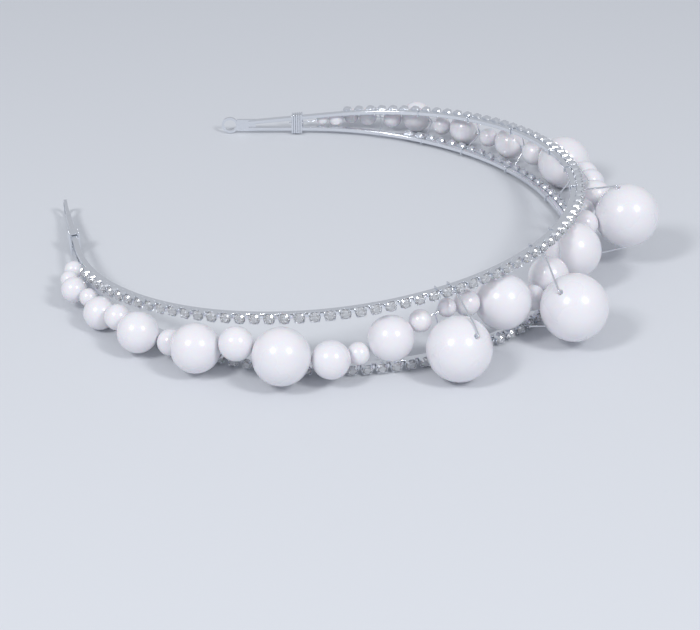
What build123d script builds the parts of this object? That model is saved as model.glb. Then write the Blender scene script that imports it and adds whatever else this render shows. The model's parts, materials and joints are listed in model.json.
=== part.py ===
from build123d import *
import os
from math import acos, cos, degrees, radians, sin, sqrt

# Bridal tiara: a headband of two horseshoe rails of flat wire, each faced with a chain of
# crystals in claw cups, and a string of pearls wired along the gap between them.  Three large
# pearls stand out at the front on wires of their own.  Millimetres, +Z up, lying on its lower
# rail, with the front towards -Y and the two ribbon eyes towards +Y.
# Stations run along a rail's centre line from the front: positive towards +X.

# ---- rails --------------------------------------------------------------------------------
rail_width = 1.6            # across, from the head outwards
rail_height = 1.3
rail_edge = 0.25            # rounding of the wire's corners
ends_apart = 84.6           # between the two ends of a rail
end_heading = 128           # degrees turned from the front to the straight ends
lower_front_radius = 70.8
lower_front_turn = 90
lower_side_radius = 83.8
upper_front_radius = 72.8
upper_front_turn = 80
upper_side_radius = 70.0
upper_tilt = 7.3            # degrees the upper rail climbs from its ends to the front
upper_end_rise = 2.3        # of the upper rail over the lower one, at their ends

# ---- eyes for a ribbon or hairpin -----------------------------------------------------------
eye_bore_radius = 1.95
eye_wall = 0.8
eye_thickness = 0.9
neck_length = 5.0
neck_height = 4.0
neck_lap = 1.2              # how far the slotted rail ends run over the neck

# ---- crystal chains ---------------------------------------------------------------------------
cup_pitch = 3.76
cup_radius = 1.6
cup_floor_radius = 1.3
cup_floor = 0.35
cup_wall = 1.5              # height of the cup's rim
cup_rim = 0.12
claw_width = 24             # degrees of the rim
claw_reach = 2.3
crystal_radius = 1.42
crystal_table_radius = 0.8
crystal_culet_radius = 0.3
crystal_crown = 0.65
link_width = 0.9
link_thickness = 0.4
chain_seat = 0.02           # between a cup and the rail, and a link and the next cup
upper_chain_start = -143.0
upper_chain_cups_total = 80
lower_chain_start = -131.0
lower_chain_cups_total = 71

# ---- wires --------------------------------------------------------------------------------------
string_wire = 0.4           # diameters
tie_wire = 0.4
stem_wire = 0.5
binding_wire = 0.7
binding_turns = 5
binding_from_end = 15.0
wire_seat = 0.03            # between a wound wire and what it is wound on
binding_seat = 0.08

# ---- pearls -------------------------------------------------------------------------------------
string_bore_clearance = 0.12
stem_bore_clearance = 0.07
pearl_gap = 0.12            # between neighbours on the string, and a pearl and the cups
tie_gap = 2.4               # between neighbours where a tie wire passes
string_start = -149.5       # station of the first pearl
# Along the string: diameter, height between the rails as a share, and how far the centre
# stands out from the rails.  NEST rests the pearl against both chains from outside.
NEST = None
strung_pearls = [
    (5, 0.70, NEST), (5, 0.62, NEST), (7, 0.60, NEST), (5, 0.55, NEST), (9, 0.35, NEST),
    (7, 0.55, NEST), (11, 0.46, NEST), (7, 0.30, NEST), (13, 0.48, NEST), (9, 0.65, NEST),
    (15, 0.50, NEST), (10, 0.36, NEST), (6, 0.30, 2.5), (12, 0.48, 2.0), (6, 0.60, 0.0),
    (5, 0.68, -0.5), (7, 0.65, -0.5), (15, 0.52, 1.5), (7, 0.38, 2.5), (11, 0.50, 2.0),
    (16, 0.52, 2.5), (8, 0.66, 3.5), (7, 0.48, 0.8), (6, 0.60, 3.0), (9, 0.68, 7.0),
    (8, 0.64, 8.0), (8, 0.58, 9.0), (16, 0.46, NEST), (8, 0.42, 6.5), (10, 0.38, NEST),
    (6, 0.38, 5.5), (10, 0.36, NEST), (6, 0.36, 6.0), (10, 0.44, NEST), (6, 0.38, NEST),
    (6, 0.38, NEST), (5, 0.40, NEST), (5, 0.45, NEST), (4, 0.50, NEST),
]
tied_after = (15, 20, 25, 27, 29, 31, 33, 35)    # pearls with a tie wire after them

# The three large pearls: diameter, station, distance out, height, and the drilling's direction.
feature_pearls = {
    "left": (17, -35.4, 9.7, 8.6, (-0.10, -0.66, 0.75)),
    "centre": (18, -5.5, 14.8, 11.0, (-0.64, 0.18, 0.75)),
    "right": (18, 35.2, 14.2, 15.0, (-0.16, 0.34, 0.93)),
}
mouth_radius = 0.9          # the drilling's flared mouth
mouth_depth = 1.0
stem_lift = 0.55            # of a stem wire's centre over the pearl it runs round

chain_base = rail_width / 2 + chain_seat        # how far out the cups' floors stand
chain_face = chain_base + claw_reach            # and how far out their claws end
lower_rail_height = cup_radius                  # the lower cups touch the table


# ---- where things are -----------------------------------------------------------------------
class Rail:
    """The centre line of a rail: per side two arcs and a straight, in a tilted plane."""

    def __init__(self, front_radius, front_turn, side_radius, end_height, tilt):
        self.front_radius, self.side_radius = front_radius, side_radius
        self.front_turn, self.end_turn = radians(front_turn), radians(end_heading)
        self.plane = Plane(
            origin=(0, 0, end_height),
            x_dir=(1, 0, 0),
            z_dir=(0, sin(radians(tilt)), cos(radians(tilt))),
        )
        x, y = self.arcs_end()
        self.straight = (x - ends_apart / 2) / -cos(self.end_turn)
        self.depth = y + self.straight * sin(self.end_turn)
        self.front_arc = front_radius * self.front_turn
        self.side_arc = side_radius * (self.end_turn - self.front_turn)
        self.half = self.front_arc + self.side_arc + self.straight

    def arcs_end(self):
        """The end of the right side arc, measured from the front."""
        a, b = self.front_turn, self.end_turn
        x = self.front_radius * sin(a) + self.side_radius * (sin(b) - sin(a))
        y = self.front_radius * (1 - cos(a)) + self.side_radius * (cos(a) - cos(b))
        return x, y

    def station(self, s, out=0.0, up=0.0):
        """The plane at a station, its x along the rail, its z outwards and its y upwards."""
        run = abs(s)
        if run <= self.front_arc:
            turn = run / self.front_radius
            x, y = self.front_radius * sin(turn), self.front_radius * (1 - cos(turn))
        elif run <= self.front_arc + self.side_arc:
            turn = self.front_turn + (run - self.front_arc) / self.side_radius
            x, y = self.arcs_end()
            x += self.side_radius * (sin(turn) - sin(self.end_turn))
            y += self.side_radius * (cos(self.end_turn) - cos(turn))
        else:
            turn = self.end_turn
            x, y = self.arcs_end()
            x += (run - self.front_arc - self.side_arc) * cos(turn)
            y += (run - self.front_arc - self.side_arc) * sin(turn)
        side = 1 if s >= 0 else -1
        along = Vector(cos(turn), side * sin(turn))
        outward = Vector(side * sin(turn), -cos(turn))
        spot = Vector(side * x, y - self.depth) + outward * out
        local = Vector(spot.X, spot.Y, up)
        level = self.plane
        return Plane(
            origin=level.from_local_coords(local),
            x_dir=level.from_local_coords(along) - level.origin,
            z_dir=level.from_local_coords(outward) - level.origin,
        )

    def spot(self, s, out=0.0, up=0.0):
        return self.station(s, out, up).origin


lower = Rail(lower_front_radius, lower_front_turn, lower_side_radius, lower_rail_height, 0)
upper = Rail(
    upper_front_radius, upper_front_turn, upper_side_radius,
    lower_rail_height + upper_end_rise, upper_tilt,
)


def upper_station(s):
    """The upper rail's station over one of the lower rail."""
    return s * upper.half / lower.half


def between(s, share, out):
    """A place in the gap: a share of the way up from the lower rail, and so far outwards."""
    foot = lower.spot(s)
    head = upper.spot(upper_station(s))
    return foot + (head - foot) * share + lower.station(s).z_dir * out


def has_chain(s, start, total):
    return start - cup_pitch < s < start + total * cup_pitch


def nest_distance(s, share, radius):
    """How far out a pearl's centre stands when it rests on the chains or rails from outside."""
    on = upper_station(s)
    foot_chain = has_chain(s, lower_chain_start, lower_chain_cups_total)
    head_chain = has_chain(on, upper_chain_start, upper_chain_cups_total)
    bare = (rail_width / 2, rail_height / 2)
    foot_out, foot_up = (chain_face, cup_radius) if foot_chain else bare
    head_out, head_up = (chain_face, cup_radius) if head_chain else bare
    centre = between(s, share, 0)
    outward = lower.station(s).z_dir
    reach = radius + pearl_gap
    out = rail_width / 2
    for corner, side in ((lower.spot(s, foot_out, foot_up), 1), (upper.spot(on, head_out, -head_up), -1)):
        drop = max(0, (centre.Z - corner.Z) * side)
        if drop < reach:
            out = max(out, (corner - centre).dot(outward) + sqrt(reach**2 - drop**2))
    return out


def pearl_place(s, share, out, radius):
    return between(s, share, nest_distance(s, share, radius) if out is NEST else out)


def string_places():
    """The pearls' centres, each as far from the last as their radii and the gap ask."""
    places = []
    s = string_start
    for number, (diameter, share, out) in enumerate(strung_pearls):
        radius = diameter / 2
        if places:
            gap = pearl_gap + (tie_gap if number in tied_after else 0)
            wanted = radius + strung_pearls[number - 1][0] / 2 + gap
            near, far = s, s + wanted + 10
            for _ in range(40):
                s = (near + far) / 2
                if (pearl_place(s, share, out, radius) - places[-1]).length < wanted:
                    near = s
                else:
                    far = s
        places.append(pearl_place(s, share, out, radius))
        string_stations.append(s)
    return places


string_stations = []
pearl_centres = string_places()


# ---- solids -----------------------------------------------------------------------------------
pieces = []


def finish(piece, name):
    """Label a finished piece and keep it for the files."""
    piece.part.label = name
    pieces.append(piece)


def make_rail(rail):
    """A flat wire with rounded corners along the rail, slotted at both ends for the necks."""
    with BuildPart() as piece:
        with BuildLine(rail.plane) as centre_line:
            front = JernArc((0, -rail.depth), (1, 0), rail.front_radius, degrees(rail.front_turn))
            side = JernArc(front @ 1, front % 1, rail.side_radius, end_heading - degrees(rail.front_turn))
            Line(side @ 1, side @ 1 + (side % 1) * (rail.straight + neck_lap))
            mirror(about=Plane.YZ)
        end = rail.station(-rail.half - neck_lap)
        with BuildSketch(Plane(end.origin, x_dir=end.z_dir, z_dir=end.x_dir)):
            RectangleRounded(rail_width, rail_height, rail_edge)
        sweep(path=centre_line.line)
    return piece


def make_wire(points, diameter):
    """A round wire bent at each point."""
    with BuildPart() as piece:
        for start, end in zip(points, points[1:]):
            with BuildSketch(Plane(start, z_dir=end - start)):
                Circle(diameter / 2)
            extrude(amount=(end - start).length)
        with Locations(*points):
            Sphere(diameter / 2)
    return piece


# ---- the eyes ---------------------------------------------------------------------------------
neck_middle = (lower.spot(lower.half).Z + upper.spot(upper.half).Z) / 2
eye_radius = eye_bore_radius + eye_wall
eye_distance = neck_length + eye_radius - eye_wall / 2      # from the rails' ends to its centre


def make_eye(side):
    """A flat ring and its neck, standing on edge past the ends of the rails."""
    end = lower.station(side * lower.half)
    level = Plane(
        (end.origin.X, end.origin.Y, neck_middle), x_dir=end.x_dir * side, z_dir=end.z_dir
    )
    with BuildPart() as piece:
        with BuildSketch(level):
            with Locations((eye_distance, 0)):
                Circle(eye_radius)
            with Locations((neck_length / 2 - neck_lap / 2, 0)):
                Rectangle(neck_length + neck_lap, neck_height)
            with Locations((eye_distance, 0)):
                Circle(eye_bore_radius, mode=Mode.SUBTRACT)
        extrude(amount=eye_thickness / 2, both=True)
    return piece


end_eyes = {"left": make_eye(-1), "right": make_eye(1)}
for side, eye in end_eyes.items():
    finish(eye, f"end_eye_{side}")


# ---- the rails --------------------------------------------------------------------------------
for rail, name in ((upper, "upper_rail"), (lower, "lower_rail")):
    rail_piece = make_rail(rail)
    with rail_piece:
        for eye in end_eyes.values():
            add(eye.part, mode=Mode.SUBTRACT)
    finish(rail_piece, name)


# ---- crystal chains ---------------------------------------------------------------------------
crystal_girdle = cup_wall + 0.05
crystal_band = 0.1
crystal_culet = cup_floor + 0.08
crystal_table = crystal_girdle + crystal_band + crystal_crown

with BuildPart() as cup:
    with BuildSketch(Plane.XZ):
        with BuildLine():
            Polyline(
                (0, 0), (cup_floor_radius, 0), (cup_radius, cup_floor + 0.1),
                (cup_radius, cup_wall), (cup_radius - cup_rim, cup_wall),
                (crystal_culet_radius + 0.15, cup_floor), (0, cup_floor), close=True,
            )
        make_face()
    revolve(axis=Axis.Z)
    for turn in (45, 135, 225, 315):
        claw_plane = Plane.XZ.rotated((0, 0, turn - claw_width / 2))
        with BuildSketch(Plane((0, 0, 0), x_dir=claw_plane.x_dir, z_dir=claw_plane.z_dir)):
            with BuildLine():
                inner = cup_radius - cup_rim
                Polyline(
                    (inner, cup_wall - 0.1), (cup_radius, cup_wall - 0.1),
                    (cup_radius, crystal_girdle + 0.3), (crystal_table_radius + 0.4, claw_reach),
                    (crystal_table_radius + 0.25, claw_reach - 0.12),
                    (inner, crystal_girdle + 0.17), close=True,
                )
            make_face()
        revolve(axis=Axis.Z, revolution_arc=claw_width)
    link_end = cup_pitch - cup_radius - 2 * chain_seat
    with Locations(((cup_floor_radius + link_end) / 2, 0, cup_floor + 0.1)):
        Box(link_end - cup_floor_radius, link_width, link_thickness)

with BuildPart() as crystal:
    with BuildSketch(Plane.XY.offset(crystal_girdle)) as girdle:
        RegularPolygon(crystal_radius, 8)
    extrude(amount=crystal_band)
    with BuildSketch(Plane.XY.offset(crystal_girdle + crystal_band)):
        RegularPolygon(crystal_radius, 8)
    with BuildSketch(Plane.XY.offset(crystal_table)):
        RegularPolygon(crystal_table_radius, 8)
    loft()
    with BuildSketch(Plane.XY.offset(crystal_culet)):
        RegularPolygon(crystal_culet_radius, 8)
    with BuildSketch(Plane.XY.offset(crystal_girdle)):
        RegularPolygon(crystal_radius, 8)
    loft()


def make_chain(rail, start, total, link, name):
    """A group of copies along a rail, standing on its outer face."""
    seats = [rail.station(start + number * cup_pitch, chain_base) for number in range(total)]
    with BuildPart() as piece:
        with Locations(*seats):
            add(link.part)
    finish(piece, name)


make_chain(upper, upper_chain_start, upper_chain_cups_total, cup, "upper_chain_cups")
make_chain(lower, lower_chain_start, lower_chain_cups_total, cup, "lower_chain_cups")
make_chain(upper, upper_chain_start, upper_chain_cups_total, crystal, "upper_chain_crystals")
make_chain(lower, lower_chain_start, lower_chain_cups_total, crystal, "lower_chain_crystals")
# ---- wires ------------------------------------------------------------------------------------
def make_binding(side):
    """A wire wound round both rails, over the start of the pearls' wire."""
    reach = binding_wire / 2 + binding_seat
    advance = (binding_wire + wire_seat) / 4
    inside, outside = -rail_width / 2 - reach, rail_width / 2 + reach
    over = rail_height / 2 + reach
    corners = []
    for quarter in range(4 * binding_turns + 1):
        from_end = binding_from_end + (quarter - 2 * binding_turns) * advance
        rail, up = ((lower, -over), (lower, -over), (upper, over), (upper, over))[quarter % 4]
        out = (outside, inside, inside, outside)[quarter % 4]
        corners.append(rail.spot(side * (rail.half - from_end), out, up))
    return make_wire(corners, binding_wire)


for side, name in ((-1, "left"), (1, "right")):
    finish(make_binding(side), f"end_binding_{name}")


def string_end(side, past):
    """A point of the wire's straight end, inside the binding or just short of it."""
    s = side * (lower.half - binding_from_end + past * (binding_turns * binding_wire / 2 + 0.8))
    return between(s, 0.5, rail_width / 2 - string_wire / 2)


string_points = [string_end(-1, -1)] + pearl_centres + [string_end(1, -1)]
wire_points = [string_end(-1, 1)] + string_points + [string_end(1, 1)]
finish(make_wire(wire_points, string_wire), "stringing_wire")


def hook(rail, chain_start, s, wire, high, in_front=True):
    """A wire's corners between two cups and round the rail, from in front of the chain or not."""
    s = chain_start + (round((s - chain_start) / cup_pitch - 0.5) + 0.5) * cup_pitch
    up = (rail_height / 2 + wire_seat + wire / 2) * (-1 if high else 1)
    out = chain_base + cup_floor + link_thickness + wire / 2
    inside = -rail_width / 2 - wire_seat - wire / 2
    start = [rail.spot(s, chain_face + wire, up / 2)] if in_front else []
    return start + [
        rail.spot(s, out, up),
        rail.spot(s, inside, up),
        rail.spot(s, inside, -up),
        rail.spot(s, out, -up),
    ]


def lower_hook(s, wire, in_front=True):
    return hook(lower, lower_chain_start, s, wire, False, in_front)


def upper_hook(s, wire, in_front=True):
    return hook(upper, upper_chain_start, upper_station(s), wire, True, in_front)


def tie_points(number):
    """A tie wire from rail to rail, crossing the string between two pearls."""
    first, second = pearl_centres[number - 1], pearl_centres[number]
    way = (second - first).normalized()
    middle = first + way * (strung_pearls[number - 1][0] / 2 + (pearl_gap + tie_gap) / 2)
    s = (string_stations[number - 1] + string_stations[number]) / 2
    outward = lower.station(s).z_dir
    beside = middle + outward * ((string_wire + tie_wire) / 2 + 0.25)
    in_front = (beside - between(s, 0.5, 0)).dot(outward) > chain_face
    return (
        lower_hook(s, tie_wire, in_front)[::-1] + [beside] + upper_hook(s, tie_wire, in_front)
    )


with BuildPart() as tie_wires:
    for number in tied_after:
        add(make_wire(tie_points(number), tie_wire).part)
finish(tie_wires, "tie_wires")


# ---- pearls -----------------------------------------------------------------------------------
def make_strung_pearl(number):
    """A pearl drilled along the wire's way in and its way out."""
    centre = pearl_centres[number]
    radius = strung_pearls[number][0] / 2
    bore = string_wire / 2 + string_bore_clearance
    outward = lower.station(string_stations[number]).z_dir
    with BuildPart() as piece:
        with Locations(Plane(centre, x_dir=outward, z_dir=(0, 0, 1))):
            Sphere(radius)
        for neighbour in (string_points[number], string_points[number + 2]):
            with BuildSketch(Plane(centre, z_dir=neighbour - centre)):
                Circle(bore)
            extrude(amount=radius + 1, mode=Mode.SUBTRACT)
        with Locations(centre):
            Sphere(bore, mode=Mode.SUBTRACT)
    return piece


for number in range(len(strung_pearls)):
    finish(make_strung_pearl(number), f"strung_pearl_{number + 1:02d}")


def round_pearl(centre, radius, start_way, target):
    """Points over a pearl from a drilling's mouth until a straight run to the target is clear."""
    to_target = target - centre
    across = (to_target - start_way * to_target.dot(start_way)).normalized()
    whole = acos(to_target.normalized().dot(start_way))
    free = whole - acos(min(1, radius / to_target.length))
    steps = max(1, round(degrees(free) / 20))
    turns = [free * step / steps for step in range(1, steps + 1)] if free > 0 else []
    return [centre + (start_way * cos(turn) + across * sin(turn)) * radius for turn in turns]


def make_feature(diameter, s, out, height, way):
    """A large pearl and the stem wire that holds it to both rails."""
    seat = lower.station(s).z_dir * out + lower.spot(s)
    centre = Vector(seat.X, seat.Y, height)
    way = Vector(*way).normalized()
    radius = diameter / 2
    bore = stem_wire / 2 + stem_bore_clearance
    with BuildPart() as pearl:
        with Locations(centre):
            Sphere(radius)
        with BuildSketch(Plane(centre, z_dir=way)):
            Circle(bore)
        extrude(amount=radius + 1, both=True, mode=Mode.SUBTRACT)
        for side in (1, -1):
            mouth = Plane(centre + way * side * (radius - mouth_depth), z_dir=way * side)
            with BuildSketch(mouth):
                Circle(bore)
            with BuildSketch(mouth.offset(mouth_depth)):
                Circle(mouth_radius)
            loft(mode=Mode.SUBTRACT)
    lift = radius + stem_lift
    below, above = lower_hook(s - 4, stem_wire), upper_hook(s + 4, stem_wire)
    points = below[::-1] + round_pearl(centre, lift, -way, below[0])[::-1]
    points += [centre - way * lift, centre + way * lift]
    points += round_pearl(centre, lift, way, above[0]) + above
    return pearl, make_wire(points, stem_wire), centre, way


feature_notes = {}
for name, sizes in feature_pearls.items():
    pearl, stem, centre, way = make_feature(*sizes)
    finish(pearl, f"feature_pearl_{name}")
    finish(stem, f"feature_stem_{name}")
    feature_notes[name] = (centre, way)


# ---- files ------------------------------------------------------------------------------------
# The origin is the middle of the tiara's foot: under the middle of its box, on the table.
boxes = [piece.part.bounding_box() for piece in pieces]
home = Vector(
    -(min(box.min.X for box in boxes) + max(box.max.X for box in boxes)) / 2,
    -(min(box.min.Y for box in boxes) + max(box.max.Y for box in boxes)) / 2,
    -min(box.min.Z for box in boxes),
)
os.makedirs("parts", exist_ok=True)
for piece in pieces:
    label = piece.part.label
    piece.part.location = Location(home)
    piece.part.label = label
    export_step(piece.part, f"parts/{label}.step")

print("home", home)
for name, (centre, way) in feature_notes.items():
    print("feature pearl", name, centre + home, way)
for name, side in (("left", -1), ("right", 1)):
    end = lower.station(side * lower.half)
    spot = end.origin + end.x_dir * side * eye_distance + home
    print("eye", name, spot.X, spot.Y, neck_middle + home.Z, "outwards", end.z_dir)
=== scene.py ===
import json
import math

import bpy
from mathutils import Matrix, Vector

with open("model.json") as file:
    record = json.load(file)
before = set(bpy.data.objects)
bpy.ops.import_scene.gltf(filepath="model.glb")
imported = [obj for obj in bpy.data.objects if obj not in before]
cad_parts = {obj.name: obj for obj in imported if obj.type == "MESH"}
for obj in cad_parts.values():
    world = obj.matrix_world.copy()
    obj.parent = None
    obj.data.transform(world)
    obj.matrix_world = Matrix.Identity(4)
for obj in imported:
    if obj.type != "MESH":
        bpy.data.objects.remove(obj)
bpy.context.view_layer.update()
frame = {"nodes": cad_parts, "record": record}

# The bridal tiara: silver-plated rails and wires, clear crystals in claw cups, white pearls.
SILVER = (0.86, 0.88, 0.92)
PEARL = (0.80, 0.80, 0.85)
PEARL_WARM = (0.84, 0.82, 0.85)
CRYSTAL = (0.97, 0.98, 1.0)
FLOOR = (0.68, 0.70, 0.74)
BACKDROP = (0.84, 0.87, 0.93)


# ---- materials -------------------------------------------------------------------------------
def new_material(name):
    """A node material; returns it with its shader and a short way to add nodes."""
    material = bpy.data.materials.new(name)
    material.use_nodes = True
    shader = material.node_tree.nodes["Principled BSDF"]
    return material, shader, material.node_tree.nodes, material.node_tree.links


def object_noise(nodes, links, scale, detail=3.0):
    """Noise fixed to the object, of about 1/scale metres."""
    coords = nodes.new("ShaderNodeTexCoord")
    noise = nodes.new("ShaderNodeTexNoise")
    noise.inputs["Scale"].default_value = scale
    noise.inputs["Detail"].default_value = detail
    links.new(coords.outputs["Object"], noise.inputs["Vector"])
    return noise


def vary_roughness(nodes, links, noise, shader, low, high):
    """Roughness between low and high with the noise."""
    spread = nodes.new("ShaderNodeMapRange")
    spread.inputs["To Min"].default_value = low
    spread.inputs["To Max"].default_value = high
    links.new(noise.outputs["Fac"], spread.inputs["Value"])
    links.new(spread.outputs["Result"], shader.inputs["Roughness"])


def add_bump(nodes, links, noise, shader, strength, distance):
    """Fine relief from the noise."""
    bump = nodes.new("ShaderNodeBump")
    bump.inputs["Strength"].default_value = strength
    bump.inputs["Distance"].default_value = distance
    links.new(noise.outputs["Fac"], bump.inputs["Height"])
    links.new(bump.outputs["Normal"], shader.inputs["Normal"])


def plated(name, low, high, grain, relief):
    """Silver plate, polished more in some places than others."""
    material, shader, nodes, links = new_material(name)
    shader.inputs["Base Color"].default_value = (*SILVER, 1)
    shader.inputs["Metallic"].default_value = 1.0
    noise = object_noise(nodes, links, grain)
    vary_roughness(nodes, links, noise, shader, low, high)
    add_bump(nodes, links, noise, shader, relief, 0.00002)
    return material


def pearl_finish():
    """Nacre: white with a faint lilac drift, under a clear lustrous skin."""
    material, shader, nodes, links = new_material("pearl_nacre")
    noise = object_noise(nodes, links, 90.0)
    tint = nodes.new("ShaderNodeMix")
    tint.data_type = "RGBA"
    tint.inputs["A"].default_value = (*PEARL, 1)
    tint.inputs["B"].default_value = (*PEARL_WARM, 1)
    links.new(noise.outputs["Fac"], tint.inputs["Factor"])
    links.new(tint.outputs["Result"], shader.inputs["Base Color"])
    vary_roughness(nodes, links, noise, shader, 0.24, 0.32)
    shader.inputs["Coat Weight"].default_value = 0.6
    shader.inputs["Coat Roughness"].default_value = 0.12
    shader.inputs["Subsurface Weight"].default_value = 0.15
    shader.inputs["Subsurface Scale"].default_value = 0.002
    skin = object_noise(nodes, links, 1500.0)
    add_bump(nodes, links, skin, shader, 0.05, 0.00002)
    return material


def crystal_finish():
    """Clear cut glass, bright with the foil behind it."""
    material, shader, nodes, links = new_material("crystal_foiled")
    shader.inputs["Base Color"].default_value = (*CRYSTAL, 1)
    shader.inputs["Transmission Weight"].default_value = 0.7
    shader.inputs["IOR"].default_value = 1.56
    noise = object_noise(nodes, links, 700.0)
    vary_roughness(nodes, links, noise, shader, 0.0, 0.05)
    return material


finishes = {
    "rail_metal": plated("rail_silver", 0.10, 0.20, 400.0, 0.05),
    "cup_metal": plated("cup_silver", 0.14, 0.26, 900.0, 0.10),
    "wire_metal": plated("wire_silver", 0.12, 0.22, 1200.0, 0.08),
    "pearl": pearl_finish(),
    "crystal": crystal_finish(),
}
for entry in frame["record"]["subparts"]:
    node = frame["nodes"][entry["node"]]
    node.data.materials.clear()
    node.data.materials.append(finishes[entry["material_slot"]])
    if entry["material_slot"] == "pearl":
        node.data.polygons.foreach_set("use_smooth", [True] * len(node.data.polygons))
        node.data.set_sharp_from_angle(angle=math.radians(35))

# ---- floor and surround ------------------------------------------------------------------------
bpy.ops.mesh.primitive_plane_add(size=6.0, location=(0, 0, -0.0002))
floor = bpy.context.object
floor.name = "floor"
floor_material, floor_shader = new_material("floor_matt")[:2]
floor_shader.inputs["Base Color"].default_value = (*FLOOR, 1)
floor_shader.inputs["Roughness"].default_value = 0.6
floor.data.materials.append(floor_material)

world = bpy.data.worlds.new("surround")
bpy.context.scene.world = world
world.use_nodes = True
world.node_tree.nodes["Background"].inputs["Color"].default_value = (*BACKDROP, 1)
world.node_tree.nodes["Background"].inputs["Strength"].default_value = 0.60

# ---- camera --------------------------------------------------------------------------------------
right = Vector((0.5966, -0.8025, 0.0))
up = Vector((0.4189, 0.3114, 0.8530))
view = Vector((0.6845, 0.5089, -0.5220))
roll = 0.0094
x_axis = (right + roll * up).normalized()
y_axis = (up - roll * right).normalized()
camera_data = bpy.data.cameras.new("camera")
camera_data.lens = 82.3
camera_data.sensor_width = 36.0
camera_data.clip_start = 0.01
camera = bpy.data.objects.new("camera", camera_data)
bpy.context.scene.collection.objects.link(camera)
turn = Matrix((x_axis, y_axis, -view)).transposed().to_4x4()
camera.matrix_world = Matrix.Translation((-0.32781, -0.24138, 0.22697)) @ turn
bpy.context.scene.camera = camera

# ---- two softboxes, one on each side of the camera --------------------------------------------------
target = Vector((0.0, -0.01, 0.01))
facing = math.atan2(-view.y, -view.x)
for name, side in (("softbox_left", -44.0), ("softbox_right", 44.0)):
    heading = facing - math.radians(side)
    rise = math.radians(45.0)
    aim = Vector((
        math.cos(heading) * math.cos(rise),
        math.sin(heading) * math.cos(rise),
        math.sin(rise),
    ))
    lamp_data = bpy.data.lights.new(name, "AREA")
    lamp_data.shape = "RECTANGLE"
    lamp_data.size = 0.16
    lamp_data.size_y = 0.20
    lamp_data.energy = 2.6
    lamp = bpy.data.objects.new(name, lamp_data)
    bpy.context.scene.collection.objects.link(lamp)
    lamp.location = target + aim * 0.9
    lamp.rotation_euler = aim.to_track_quat("Z", "Y").to_euler()

bpy.context.scene.view_settings.view_transform = "Standard"
